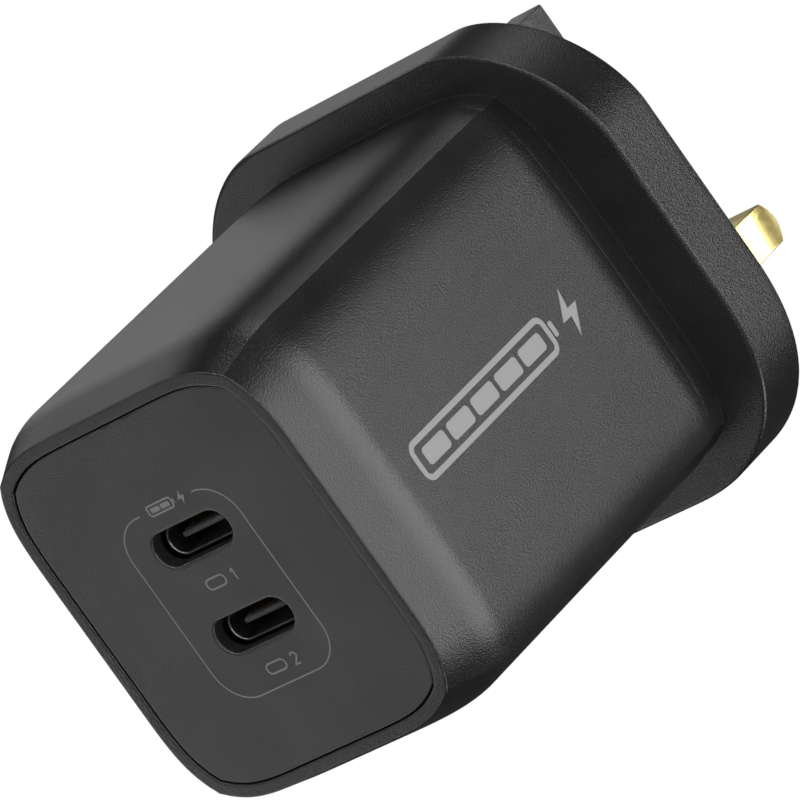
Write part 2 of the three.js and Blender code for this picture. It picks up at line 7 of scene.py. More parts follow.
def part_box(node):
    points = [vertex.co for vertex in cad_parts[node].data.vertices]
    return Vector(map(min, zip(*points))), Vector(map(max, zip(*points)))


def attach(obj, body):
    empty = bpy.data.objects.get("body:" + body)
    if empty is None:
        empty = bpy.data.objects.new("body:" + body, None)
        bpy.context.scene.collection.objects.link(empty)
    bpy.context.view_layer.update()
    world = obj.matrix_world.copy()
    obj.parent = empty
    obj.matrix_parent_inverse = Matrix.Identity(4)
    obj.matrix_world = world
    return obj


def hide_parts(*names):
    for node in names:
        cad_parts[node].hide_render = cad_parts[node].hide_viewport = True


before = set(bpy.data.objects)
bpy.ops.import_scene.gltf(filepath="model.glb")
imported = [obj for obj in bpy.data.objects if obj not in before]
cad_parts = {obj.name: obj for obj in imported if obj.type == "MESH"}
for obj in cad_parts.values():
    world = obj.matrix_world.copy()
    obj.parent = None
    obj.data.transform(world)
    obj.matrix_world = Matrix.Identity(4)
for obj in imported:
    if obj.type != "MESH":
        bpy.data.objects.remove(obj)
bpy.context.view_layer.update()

# ----------------------------------------------------------------------------------------------------
# Camera
# A long lens from the right of the port face and a little above it, rolled so that the charger's top
# leans to the left. Its place is in millimetres from the point midway between the line and neutral
# pins on the engagement face, and it is turned about X, then Y, then Z.
# ----------------------------------------------------------------------------------------------------

MM = 0.001

camera_place = np.array([543.0, -582.95, 141.8]) * MM
camera_turns = np.radians([78.2472, 34.7319, 37.2441])

lens = bpy.data.cameras.new("long_lens")
lens.sensor_width = 36
lens.lens = 410.8
lens.clip_start = 0.05
lens.clip_end = 20
camera = bpy.data.objects.new("camera", lens)
camera_aim = Euler(camera_turns.tolist()).to_matrix().to_4x4()
camera.matrix_world = Matrix.Translation(camera_place.tolist()) @ camera_aim
bpy.context.scene.collection.objects.link(camera)
bpy.context.scene.camera = camera

# ----------------------------------------------------------------------------------------------------
# Housing
# The tall black body, one moulding in matt polycarbonate, open at the back. A rim in front holds the
# port panel, and the walls flare out behind it. The back edge is welded to the plug shell's spigot.
# ----------------------------------------------------------------------------------------------------


def node_box(node):
    """Lowest and highest corner of a CAD node, in millimetres."""
    low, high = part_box(node)
    return np.array(low) / MM, np.array(high) / MM


crisp_spacing = 0.002


def quarter_corner(power, steps):
    """Quarter of a superellipse, cos and sin of an angle each raised to 2 / power, evenly spaced by length,
    with the two points next to the middle one drawn close to it, so that an edge there is crisp."""
    angle = np.linspace(0, np.pi / 2, 4001)
    curve = np.stack([np.cos(angle).clip(0), np.sin(angle).clip(0)], 1) ** (2 / power)
    run = np.concatenate([[0], np.cumsum(np.linalg.norm(np.diff(curve, axis=0), axis=1))])
    even = np.linspace(0, run[-1], steps + 1)
    middle = steps // 2
    even[[middle - 1, middle + 1]] = even[middle] + np.array([-1, 1]) * crisp_spacing
    return np.stack([np.interp(even, run, curve[:, axis]) for axis in (0, 1)], 1)


ridge_width = 2.6


def outline(half_width, top, bottom, ridge=0.0, steps=40, side_steps=8):
    """Closed outline in X and Z, counter-clockwise from the port side: four superelliptic corners, each
    reaching along both of its sides, joined by straight sides. `top` and `bottom` are the height of that
    side, the reach of its corners along X and along Z, and their power. The middle of each corner stands
    proud by `ridge` as a faint edge, which falls off as a parabola on both sides."""
    corners = []
    for quarter, (z, reach_x, reach_z, power) in enumerate([top, top, bottom, bottom]):
        side = (1, -1, -1, 1)[quarter]
        up = (1, 1, -1, -1)[quarter]
        curve = quarter_corner(power, steps)
        away = np.linalg.norm((curve - curve[steps // 2]) * [reach_x, reach_z], axis=1)
        proud = ridge * (1 - away / ridge_width).clip(0) ** 2
        curve = curve + proud[:, None] * 0.5**0.5 / [reach_x, reach_z]
        if quarter % 2:
            curve = curve[::-1]
        middle = np.array([side * (half_width - reach_x), z - up * reach_z])
        corners.append(middle + curve * [side * reach_x, up * reach_z])
    share = np.linspace(0, 1, side_steps + 1)[1:-1, None]
    parts = []
    for quarter, curve in enumerate(corners):
        parts.append(curve)
        parts.append(curve[-1] * (1 - share) + corners[(quarter + 1) % 4][0] * share)
    return np.concatenate(parts)


def ring(points, y):
    """The outline `points` stood at depth y."""
    return np.stack([points[:, 0], np.full(len(points), float(y)), points[:, 1]], 1)


def between(first, last, steps):
    """Rings evenly spaced between two rings, without the two themselves."""
    return [first * (1 - t) + last * t for t in np.linspace(0, 1, steps + 1)[1:-1]]


def rounded(before, edge, after, steps=5):
    """Rings on the quadratic curve from ring `before` to ring `after`, drawn towards ring `edge`."""
    shares = np.linspace(0, 1, steps + 1)
    return [(1 - t) ** 2 * before + 2 * t * (1 - t) * edge + t**2 * after for t in shares]


def skin(rings, ends="loop"):
    """Surface through rings of equal count: quads from each ring to the next. With ends "loop" the last
    ring meets the first, with "caps" a flat face closes each end, and with "open" both ends stay open."""
    rows, count = len(rings), len(rings[0])
    bands = rows if ends == "loop" else rows - 1
    row, column = np.meshgrid(np.arange(bands), np.arange(count), indexing="ij")
    beside = (column + 1) % count
    behind = (row + 1) % rows
    corners = [row * count + column, behind * count + column, behind * count + beside, row * count + beside]
    faces = np.stack(corners, -1).reshape(-1, 4).tolist()
    if ends == "caps":
        faces.append(list(range(count)))
        faces.append(list(range(rows * count - 1, (rows - 1) * count - 1, -1)))
    return np.concatenate(rings), faces


def make_piece(name, parts, material, replaces=(), smooth=True):
    """One object from closed surfaces in millimetres, each a pair of points and faces, shaded smooth or
    flat. It rides on the root body and stands in for the CAD nodes that it replaces."""
    points, faces, start = [], [], 0
    for part_points, part_faces in parts:
        points.append(part_points)
        faces.extend([[corner + start for corner in face] for face in part_faces])
        start += len(part_points)
    mesh = bpy.data.meshes.new(name)
    mesh.from_pydata((np.concatenate(points) * MM).tolist(), [], faces)
    mesh.polygons.foreach_set("use_smooth", np.full(len(mesh.polygons), smooth))
    mesh.validate()
    mesh.update()
    piece = bpy.data.objects.new(name, mesh)
    bpy.context.scene.collection.objects.link(piece)
    mesh.materials.append(material)
    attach(piece, "root")
    if replaces:
        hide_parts(*replaces)


def finish(name, dark, light, patch, grain, roughness, bump=0.0, metallic=0.0, stretch=(1, 1, 1)):
    """Procedural finish on object coordinates: two close colours mixed by soft patches `patch` millimetres
    wide, and a fine grain `grain` millimetres wide that varies the roughness and stands `bump` millimetres
    high. `stretch` draws the grain out along an axis, for brushing or for fibres."""
    material = bpy.data.materials.new(name)
    material.use_nodes = True
    tree = material.node_tree
    shader = tree.nodes["Principled BSDF"]
    shader.inputs["Metallic"].default_value = metallic
    place = tree.nodes.new("ShaderNodeTexCoord")
    drawn = tree.nodes.new("ShaderNodeMapping")
    drawn.inputs["Scale"].default_value = stretch
    tree.links.new(place.outputs["Object"], drawn.inputs["Vector"])

    patches = tree.nodes.new("ShaderNodeTexNoise")
    patches.inputs["Scale"].default_value = 1 / (patch * MM)
    patches.inputs["Detail"].default_value = 2
    tree.links.new(drawn.outputs["Vector"], patches.inputs["Vector"])
    grains = tree.nodes.new("ShaderNodeTexNoise")
    grains.inputs["Scale"].default_value = 1 / (grain * MM)
    grains.inputs["Detail"].default_value = 2
    tree.links.new(drawn.outputs["Vector"], grains.inputs["Vector"])

    both = tree.nodes.new("ShaderNodeMix")
    both.inputs["Factor"].default_value = 0.6
    tree.links.new(patches.outputs["Fac"], both.inputs["A"])
    tree.links.new(grains.outputs["Fac"], both.inputs["B"])
    colour = tree.nodes.new("ShaderNodeValToRGB")
    colour.color_ramp.elements[0].position = 0.35
    colour.color_ramp.elements[0].color = (*dark, 1)
    colour.color_ramp.elements[1].position = 0.65
    colour.color_ramp.elements[1].color = (*light, 1)
    tree.links.new(both.outputs["Result"], colour.inputs["Fac"])
    tree.links.new(colour.outputs["Color"], shader.inputs["Base Color"])

    rough = tree.nodes.new("ShaderNodeMapRange")
    rough.inputs["From Min"].default_value = 0.3
    rough.inputs["From Max"].default_value = 0.7
    rough.inputs["To Min"].default_value = roughness[0]
    rough.inputs["To Max"].default_value = roughness[1]
    tree.links.new(grains.outputs["Fac"], rough.inputs["Value"])
    tree.links.new(rough.outputs["Result"], shader.inputs["Roughness"])

    if bump:
        relief = tree.nodes.new("ShaderNodeBump")
        relief.inputs["Strength"].default_value = 1
        relief.inputs["Distance"].default_value = bump * MM
        tree.links.new(grains.outputs["Fac"], relief.inputs["Height"])
        tree.links.new(relief.outputs["Normal"], shader.inputs["Normal"])
    return material


matt_black = finish(
    "matt_black", (0.003, 0.003, 0.0031), (0.011, 0.011, 0.0112), 9, 0.155, (0.28, 0.3), bump=0.042
)

housing_low, housing_high = node_box("housing")
middle_z = (housing_low[2] + housing_high[2]) / 2
body_half_width = housing_high[0]
body_half_height = housing_high[2] - middle_z
body_flat = 1.0
body_power = 5.0
face_inset = np.array([1.9, 1.6])
face_flat = np.array([5.0, 6.5])
face_power = 3.5
flare_length = 6.6
flare_straight = 0.5
corner_ridge = 0.2
rim_width = 1.15
wall = 1.8
port_face_y = housing_low[1]
housing_back_y = housing_high[1]
pocket_depth = 1.9
pocket_floor_y = port_face_y + pocket_depth
ledge_thickness = 1.2
ledge_back_y = pocket_floor_y + ledge_thickness
ledge_width = 1.3


def body_outline(opened, inset=0.0):
    """Outline of the body where its flare has `opened`, 0 at the port face and 1 on the straight walls,
    moved inward by `inset`. Sizes and corner power run evenly from the face's to the body's."""
    half = np.array([body_half_width, body_half_height]) - face_inset * (1 - opened)
    flat = face_flat * (1 - opened) + body_flat * opened
    power = face_power * (1 - opened) + body_power * opened
    reach = half - flat - inset
    top = (middle_z + half[1] - inset, reach[0], reach[1], power)
    bottom = (middle_z - half[1] + inset, reach[0], reach[1], power)
    return outline(half[0] - inset, top, bottom, corner_ridge)


def flare_opened(depth):
    """Share of the flare that has opened at a depth: a plane slope that ends in a parabola."""
    share = min(depth / flare_length, 1.0)
    slope = 2 / (1 + flare_straight)
    past = max(share - flare_straight, 0.0)
    return slope * share - slope * past**2 / (2 * (1 - flare_straight))


def body_ring(depth, inset=0.0):
    """The body's outline at a depth behind the port face."""
    return ring(body_outline(flare_opened(depth), inset), port_face_y + depth)


def housing_surface():
    """Profile carried round the body: rim, flare, wall and back edge outside, then wall, ledge and pocket
    inside, with every edge rounded."""
    edge, back_edge, back_step = 0.12, 0.06, 0.2
    pocket = [ring(body_outline(0, rim_width), y) for y in (pocket_floor_y, port_face_y + edge)]
    rings = [pocket[0], *between(pocket[0], pocket[1], 3)]
    pocket_mouth, rim_inside, rim_edge = [
        ring(body_outline(0, inset), port_face_y) for inset in (rim_width, rim_width - edge, edge)
    ]
    rings += rounded(pocket[1], pocket_mouth, rim_inside, 4)
    rings += between(rings[-1], rim_edge, 4)
    rings += rounded(rim_edge, ring(body_outline(0), port_face_y), body_ring(edge), 5)
    rings += [body_ring(depth) for depth in np.linspace(edge, flare_length, 30)[1:]]
    back = housing_back_y - port_face_y
    rings += [body_ring(depth) for depth in np.linspace(flare_length, back - back_edge, 24)[1:-1]]
    rings += rounded(body_ring(back - back_edge), body_ring(back), body_ring(back, back_edge), 4)
    inner_back = body_ring(back, wall)
    rings += [body_ring(back, wall - back_step), inner_back]
    inner_flare = [body_ring(depth, wall) for depth in np.linspace(back, flare_length, 10)[1:]]
    ledge_depth = ledge_back_y - port_face_y
    rings += inner_flare + [body_ring(depth, wall) for depth in np.linspace(flare_length, ledge_depth, 6)[1:]]
    rings += [ring(body_outline(0, rim_width + ledge_width), y) for y in (ledge_back_y, pocket_floor_y)]
    return skin(rings)


def block(low, high, edge=0.15, steps=3):
    """Box with rounded edges: a small sphere cut into eighths that are pushed out to the box's corners."""
    low, high = np.array(low, float), np.array(high, float)
    edge = min(edge, (high - low).min() / 2.5)
    quarter = np.linspace(0, np.pi / 2, steps + 1)
    around = np.concatenate([quarter + turn * np.pi / 2 for turn in range(4)])
    side_x = np.repeat([1, -1, -1, 1], steps + 1)
    side_z = np.repeat([1, 1, -1, -1], steps + 1)
    middle, half = (low + high) / 2, (high - low) / 2 - edge
    rings = []
    for side, tilts in ((-1, quarter - np.pi / 2), (1, quarter)):
        for tilt in tilts:
            x = side_x * half[0] + edge * np.cos(tilt) * np.cos(around)
            z = side_z * half[2] + edge * np.cos(tilt) * np.sin(around)
            y = np.full(len(around), side * half[1] + edge * np.sin(tilt))
            rings.append(middle + np.stack([x, y, z], 1))
    return skin(rings, "caps")


board_low, board_high = node_box("main_board")
port_board_low, port_board_high = node_box("port_board")
rail_thickness = 1.0
rail_length = 22.0
rail_gap = 0.3
rail_grip = 0.6
stop_half_height = 4.0


def board_rails():
    """Rails below and above both edges of the main board, and stops in front of and behind the port board.
    Each reaches out to the middle of the wall, along the superellipse that the wall follows."""
    rails = []
    for side in (-1, 1):
        for z in (board_low[2] - rail_gap - rail_thickness, board_high[2] + rail_gap):
            off_middle = abs(z + rail_thickness / 2 - middle_z) - body_flat
            rise = max(off_middle / (body_half_height - wall / 2 - body_flat), 0)
            across = body_half_width - wall / 2 - body_flat
            reach = body_flat + across * (1 - rise**body_power) ** (1 / body_power)
            xs = sorted([side * (board_high[0] - rail_grip), side * reach])
            y = board_low[1] + rail_gap
            rails.append(block((xs[0], y, z), (xs[1], y + rail_length, z + rail_thickness)))
        xs = sorted([side * (port_board_high[0] - rail_grip), side * (body_half_width - wall / 2)])
        for y in (port_board_low[1] - rail_gap - rail_thickness, port_board_high[1] + rail_gap):
            stop_low = (xs[0], y, middle_z - stop_half_height)
            stop_high = (xs[1], y + rail_thickness, middle_z + stop_half_height)
            rails.append(block(stop_low, stop_high))
    return rails


housing_parts = [housing_surface(), *board_rails()]
make_piece("housing_shell", housing_parts, matt_black, replaces=["housing"])

# ----------------------------------------------------------------------------------------------------
# Port panel
# A flat plate of the same plastic with a slightly closer grain, pressed into the rim from the front,
# with two slots for the receptacles. Its edges and the slots' lips are lightly rounded.
# ----------------------------------------------------------------------------------------------------

panel_black = finish(
    "panel_black", (0.007, 0.007, 0.0071), (0.018, 0.018, 0.0184), 7, 0.15, (0.28, 0.3), bump=0.042
)

panel_low, panel_high = node_box("port_panel")
panel_gap = 0.13
panel_edge = 0.12
slot_lip = 0.28
slot_width = 9.3
slot_height = 3.35
port_boxes = [node_box(f"usb_c_shell_{number}") for number in (1, 2)]
port_middles = [(low + high) / 2 for low, high in port_boxes]
face_step = 0.12


def stadium(middle, width, height, steps=24):
    """Outline of a slot: two half circles joined by straight sides, counter-clockwise from the port side."""
    radius = height / 2
    flat = (width - height) / 2
    angle = np.linspace(-np.pi / 2, np.pi / 2, steps + 1)
    right = np.stack([middle[0] + flat + radius * np.cos(angle), middle[2] + radius * np.sin(angle)], 1)
    left = np.stack([middle[0] - flat - radius * np.cos(angle), middle[2] - radius * np.sin(angle)], 1)
    share = np.linspace(0, 1, 13)[1:-1, None]
    over = right[-1] * (1 - share) + left[0] * share
    under = left[-1] * (1 - share) + right[0] * share
    return np.concatenate([right, over, left, under])


def pierced_plate(walls, front, back):
    """Plate with holes. Each wall is a list of rings from the front face to the back one, the outer wall
    first, and the two flat faces between the walls' first and last rings are filled with triangles."""
    points, faces, start, starts = [], [], 0, []
    for place, rings in enumerate(walls):
        wall_points, wall_faces = skin(rings, "open")
        if place:
            wall_faces = [face[::-1] for face in wall_faces]
        points.append(wall_points)
        faces.extend([[corner + start for corner in face] for face in wall_faces])
        starts.append((start, len(rings[0]), len(rings)))
        start += len(wall_points)
    for facing, end in ((front, 0), (back, -1)):
        rims = [rings[end] for rings in walls]
        numbers = []
        for first, count, rows in starts:
            skipped = (rows - 1) * count if end else 0
            numbers.extend(range(first + skipped, first + skipped + count))
        rim_points = np.concatenate(rims)
        for a, b, c in tessellate_polygon([[tuple(point) for point in rim] for rim in rims]):
            corners = [numbers[a], numbers[b], numbers[c]]
            normal = np.cross(rim_points[b] - rim_points[a], rim_points[c] - rim_points[a])
            faces.append(corners if normal[1] * facing > 0 else corners[::-1])
    return np.concatenate(points), faces


def panel_surface():
    """The panel's outline and its two slots, each carried through the plate with rounded edges in front."""
    front, back = panel_low[1], panel_high[1]
    outer_inset = rim_width + panel_gap
    back_bevel = 0.1

    def side(inset, y):
        """The panel's outline moved inward."""
        return ring(body_outline(0, outer_inset + inset), y)

    outer = [side(panel_edge + face_step, front)]
    outer += rounded(side(panel_edge, front), side(0, front), side(0, front + panel_edge), 5)
    outer += [side(0, back - back_bevel), side(back_bevel, back), side(back_bevel + face_step, back)]
    walls = [outer]
    for middle in port_middles:

        def lip(widened, y):
            """The slot's outline, widened."""
            return ring(stadium(middle, slot_width + 2 * widened, slot_height + 2 * widened), y)

        slot = [lip(slot_lip + face_step, front)]
        slot += rounded(lip(slot_lip, front), lip(0, front), lip(0, front + slot_lip), 6)
        slot += [*between(lip(0, front + slot_lip), lip(0, back), 4), lip(0, back), lip(face_step, back)]
        walls.append(slot)
    return pierced_plate(walls, -1, 1)


make_piece("port_plate", [panel_surface()], panel_black, replaces=["port_panel"])

# ----------------------------------------------------------------------------------------------------
# Printed marks
# Pale grey ink, pad printed. On the panel one thin line frames both ports, open at the top for a small
# battery and bolt, and each port has its outline and number. A battery and bolt lie along the right wall.
# ----------------------------------------------------------------------------------------------------

grey_ink = finish("grey_ink", (0.11, 0.11, 0.11), (0.13, 0.13, 0.13), 9, 0.12, (0.5, 0.65), bump=0.002)

ink_height = 0.015
line_width = 0.13
stroke_width = 0.17
frame_left, frame_right = -7.05, 7.15
frame_bottom, frame_top = -1.45, 17.2
frame_corner = 3.4
frame_gap = (-3.1, 3.7)


def on_panel(points, height):
    """Points given across and up the panel, stood at a height before its face."""
    return np.stack([points[:, 0], np.full(len(points), panel_low[1] - height), points[:, 1]], 1)


def stroke(path, width, laid=on_panel):
    """Inked line along an open path: a flat ribbon of even width with square ends, half sunk in the
    plastic."""
    path = np.array(path, float)
    along = np.gradient(path, axis=0)
    along /= np.linalg.norm(along, axis=1, keepdims=True)
    across = np.stack([-along[:, 1], along[:, 0]], 1) * width / 2
    left, right = path + across, path - across
    sides = [(right, ink_height), (left, ink_height), (left, -ink_height), (right, -ink_height)]
    corners = [laid(points, height) for points, height in sides]
    return skin(list(np.stack(corners, 1)), "caps")


def patch(edge, laid=on_panel):
    """Inked area inside a closed outline, as thick as a stroke."""
    return skin([laid(edge, ink_height), laid(edge, -ink_height)], "caps")


def arc(x, z, radius_x, radius_z, start, end, steps=14):
    """Points on an ellipse from one angle to another, in degrees."""
    angle = np.radians(np.linspace(start, end, steps + 1))
    return np.stack([x + radius_x * np.cos(angle), z + radius_z * np.sin(angle)], 1)


def straight(first, last, steps=6):
    """Points evenly spaced on a straight line."""
    return np.linspace(first, last, steps + 1)


def joined(*parts):
    """One path from several that meet end to end, without the doubled points."""
    return np.concatenate([parts[0], *[part[1:] for part in parts[1:]]])


def port_frame():
    """Rounded frame round both ports, from one end of the gap in its top side all the way to the other."""
    left, right = frame_left + frame_corner, frame_right - frame_corner
    low, high = frame_bottom + frame_corner, frame_top - frame_corner
    return joined(
        straight((frame_gap[0], frame_top), (left, frame_top)),
        arc(left, high, frame_corner, frame_corner, 90, 180),
        straight((frame_left, high), (frame_left, low)),
        arc(left, low, frame_corner, frame_corner, 180, 270),
        straight((left, frame_bottom), (right, frame_bottom)),
        arc(right, low, frame_corner, frame_corner, -90, 0),
        straight((frame_right, low), (frame_right, high)),
        arc(right, high, frame_corner, frame_corner, 0, 90),
        straight((right, frame_top), (frame_gap[1], frame_top)),
    )


def numeral(number, x, z, height):
    """The numeral 1 or 2 as strokes centred at x and z."""
    half = height / 2
    radius = 0.28 * height
    if number == 1:
        flag = straight((x - radius, z + 0.22 * height), (x, z + half), 3)
        return [stroke(joined(flag, straight((x, z + half), (x, z - half))), stroke_width)]
    bowl = arc(x, z + half - radius, radius, radius, 165, -35)
    foot = (x - radius, z - half)
    sweep = straight(bowl[-1], foot)
    base = straight((x - radius - stroke_width / 2, z - half), (x + radius, z - half))
    return [stroke(joined(bowl, sweep), stroke_width), stroke(base, stroke_width)]


def soft_rectangle(middle, half_x, half_z, corner, steps=6):
    """Outline of a rectangle with round corners, counter-clockwise from outside."""
    corner = min(corner, half_x, half_z)
    quarter = np.linspace(0, np.pi / 2, steps + 1)
    parts = []
    for turn, (side, up) in enumerate([(1, 1), (-1, 1), (-1, -1), (1, -1)]):
        angle = quarter + turn * np.pi / 2
        x = middle[0] + side * (half_x - corner) + corner * np.cos(angle)
        z = middle[1] + up * (half_z - corner) + corner * np.sin(angle)
        parts.append(np.stack([x, z], 1))
    return np.concatenate(parts)


def loop_line(middle, width, height, corner, line, laid=on_panel):
    """Inked line round a rectangle with round corners."""
    edge = soft_rectangle(middle, width / 2, height / 2, corner)
    inner = soft_rectangle(middle, width / 2 - line, height / 2 - line, corner - line)
    sides = [(inner, ink_height), (edge, ink_height), (edge, -ink_height), (inner, -ink_height)]
    return skin([laid(points, height) for points, height in sides])


def bolt(x, z, height, laid=on_panel):
    """Solid lightning bolt, six corners."""
    corners = [(0.1, 0.5), (-0.32, -0.08), (-0.02, -0.08), (-0.1, -0.5), (0.32, 0.08), (0.02, 0.08)]
    return patch(np.array([x, z]) + np.array(corners) * height, laid)


def battery(middle, width, height, line, cells, laid=on_panel):
    """Battery as a rounded outline with a cap at its right end and a number of solid cells inside."""
    parts = [loop_line(middle, width, height, 0.28 * height, line, laid)]
    cap = (middle[0] + width / 2 + 0.13 * height, middle[1])
    parts.append(patch(soft_rectangle(cap, 0.07 * height, 0.2 * height, 0.06 * height), laid))
    room = width - 4 * line
    pitch = room / cells
    for place in range(cells):
        cell = (middle[0] - room / 2 + (place + 0.5) * pitch, middle[1])
        cell_edge = soft_rectangle(cell, (pitch - line) / 2, height / 2 - 2 * line, 0.1 * height)
        parts.append(patch(cell_edge, laid))
    return parts


mark_height = 1.15
port_mark_width = 2.5
port_mark_x, numeral_x = port_middles[0][0] - 0.6, port_middles[0][0] + 1.8
label_heights = {1: 9.2, 2: 0.3}
panel_battery_x, panel_battery_width = -0.4, 3.2
panel_bolt_x, panel_bolt_height = 2.35, 1.4
marks = [stroke(port_frame(), line_width)]
for number, label_z in label_heights.items():
    port_mark = (port_mark_x, label_z)
    marks.append(loop_line(port_mark, port_mark_width, mark_height, mark_height / 2 - 0.01, stroke_width))
    marks += numeral(number, numeral_x, label_z, mark_height)
marks += battery((panel_battery_x, frame_top), panel_battery_width, mark_height, stroke_width, 2)
marks.append(bolt(panel_bolt_x, frame_top, panel_bolt_height))
make_piece("port_marks", marks, grey_ink, smooth=False)

wall_ink = finish("wall_ink", (0.2, 0.2, 0.2), (0.22, 0.22, 0.22), 9, 0.14, (0.45, 0.6), bump=0.002)

wall_mark_start, wall_mark_end = -43.0, -16.0
wall_mark_height = 3.9
wall_line = 0.55


def on_wall(points, height):
    """Points given along and up the right wall, stood at a height outside its flat middle."""
    return np.stack([np.full(len(points), body_half_width + height), points[:, 0], points[:, 1]], 1)


bolt_room = 4.2
wall_bolt_y = wall_mark_end - 0.8
wall_bolt_height = wall_mark_height * 1.15
battery_width = wall_mark_end - wall_mark_start - bolt_room
battery_middle = (wall_mark_start + battery_width / 2, middle_z)
wall_marks = battery(battery_middle, battery_width, wall_mark_height, wall_line, 5, on_wall)
wall_marks.append(bolt(wall_bolt_y, middle_z, wall_bolt_height, on_wall))
make_piece("wall_marks", wall_marks, wall_ink, smooth=False)

# ----------------------------------------------------------------------------------------------------
# USB-C receptacles
# Each is a drawn steel shell, plated black, with a rolled front edge. Inside it a black insulator holds
# a thin tongue with a row of gold contacts on each side. They are soldered to the port board.
# ----------------------------------------------------------------------------------------------------

black_plate = finish(
    "black_plate", (0.12, 0.12, 0.122), (0.18, 0.18, 0.184), 2, 0.3, (0.3, 0.4),
    metallic=1.0, stretch=(1, 0.2, 1),
)
black_insulator = finish(
    "black_insulator", (0.05, 0.05, 0.05), (0.08, 0.08, 0.08), 2, 0.15, (0.22, 0.34), bump=0.001
)
gold_contact = finish("gold_contact", (0.75, 0.5, 0.16), (0.85, 0.6, 0.22), 1, 0.1, (0.2, 0.3), metallic=1.0)

shell_wall = 0.3
tongue_half_width = 6.69 / 2
tongue_half_thickness = 0.35
tongue_length = 4.5
contact_pitch = 0.5
contact_width = 0.26
contact_start, contact_end = 0.7, 4.4
contact_half_thickness = 0.03
contacts_in_row = 12


def shell_surface(low, high, middle):
    """Stadium tube: its wall's profile, rounded at the front and square at the back, carried round."""
    width, height = high[0] - low[0], high[2] - low[2]

    def tube(inset, y):
        """The shell's outline moved inward."""
        return ring(stadium(middle, width - 2 * inset, height - 2 * inset), y)

    front, back = low[1], high[1]
    radius = shell_wall / 2
    straight_front = front + 0.2
    turns = np.linspace(0, np.pi, 9)
    nose = [tube(radius + radius * np.cos(turn), front + radius * (1 - np.sin(turn))) for turn in turns]
    outside = [tube(0, front + radius), *between(tube(0, straight_front), tube(0, back), 6), tube(0, back)]
    inside = [tube(shell_wall, back), *between(tube(shell_wall, back), tube(shell_wall, straight_front), 6)]
    return skin(outside + inside + nose[:-1])


def tongue_surface(low, high, middle):
    """Base that fills the shell's back, stepping down to a flat tongue whose front edge is thinned."""
    width, height = high[0] - low[0], high[2] - low[2]
    front = low[1]
    base_front = front + tongue_length
    base_edge = 0.1
    front_steps = ((0.3, 0.2, 0), (0.08, 0.1, 0.12), (0, 0, 0.5))

    def plate(inset_x, inset_z, y):
        """The tongue's outline moved inward by different amounts along X and Z."""
        half_x = tongue_half_width - inset_x
        half_z = tongue_half_thickness - inset_z
        return ring(stadium(middle, 2 * half_x, 2 * half_z), y)

    rings = [plate(inset_x, inset_z, front + depth) for inset_x, inset_z, depth in front_steps]
    rings += [*between(rings[-1], plate(0, 0, base_front), 5), plate(0, 0, base_front)]
    rings += [ring(stadium(middle, width - 2 * base_edge, height - 2 * base_edge), base_front)]
    rings += [ring(stadium(middle, width, height), y) for y in (base_front + base_edge, high[1])]
    return skin(rings, "caps")


def contact_rows(low, middle):
    """Two rows of thin pads, one above and one below the tongue."""
    pads = []
    for side in (-1, 1):
        z = middle[2] + side * tongue_half_thickness
        for place in range(contacts_in_row):
            x = middle[0] + (place - (contacts_in_row - 1) / 2) * contact_pitch
            pad_low = (x - contact_width / 2, low[1] + contact_start, z - contact_half_thickness)
            pad_high = (x + contact_width / 2, low[1] + contact_end, z + contact_half_thickness)
            pads.append(block(pad_low, pad_high, 0.02, 1))
    return pads


for number, middle in zip((1, 2), port_middles):
    shell_node, tongue_node = f"usb_c_shell_{number}", f"usb_c_tongue_{number}"
    shell_low, shell_high = node_box(shell_node)
    shell = [shell_surface(shell_low, shell_high, middle)]
    make_piece(
        f"receptacle_shell_{number}", shell, black_plate, replaces=[shell_node]
    )
    tongue_low, tongue_high = node_box(tongue_node)
    tongue = [tongue_surface(tongue_low, tongue_high, middle)]
    make_piece(
        f"receptacle_tongue_{number}", tongue, black_insulator, replaces=[tongue_node]
    )
    make_piece(f"receptacle_contacts_{number}", contact_rows(tongue_low, middle), gold_contact)

# ----------------------------------------------------------------------------------------------------
# Boards and components
# Glass fibre boards under green solder mask, and the parts soldered to them. They keep the shape of
# their CAD nodes and take the finish of the real parts.
# ----------------------------------------------------------------------------------------------------

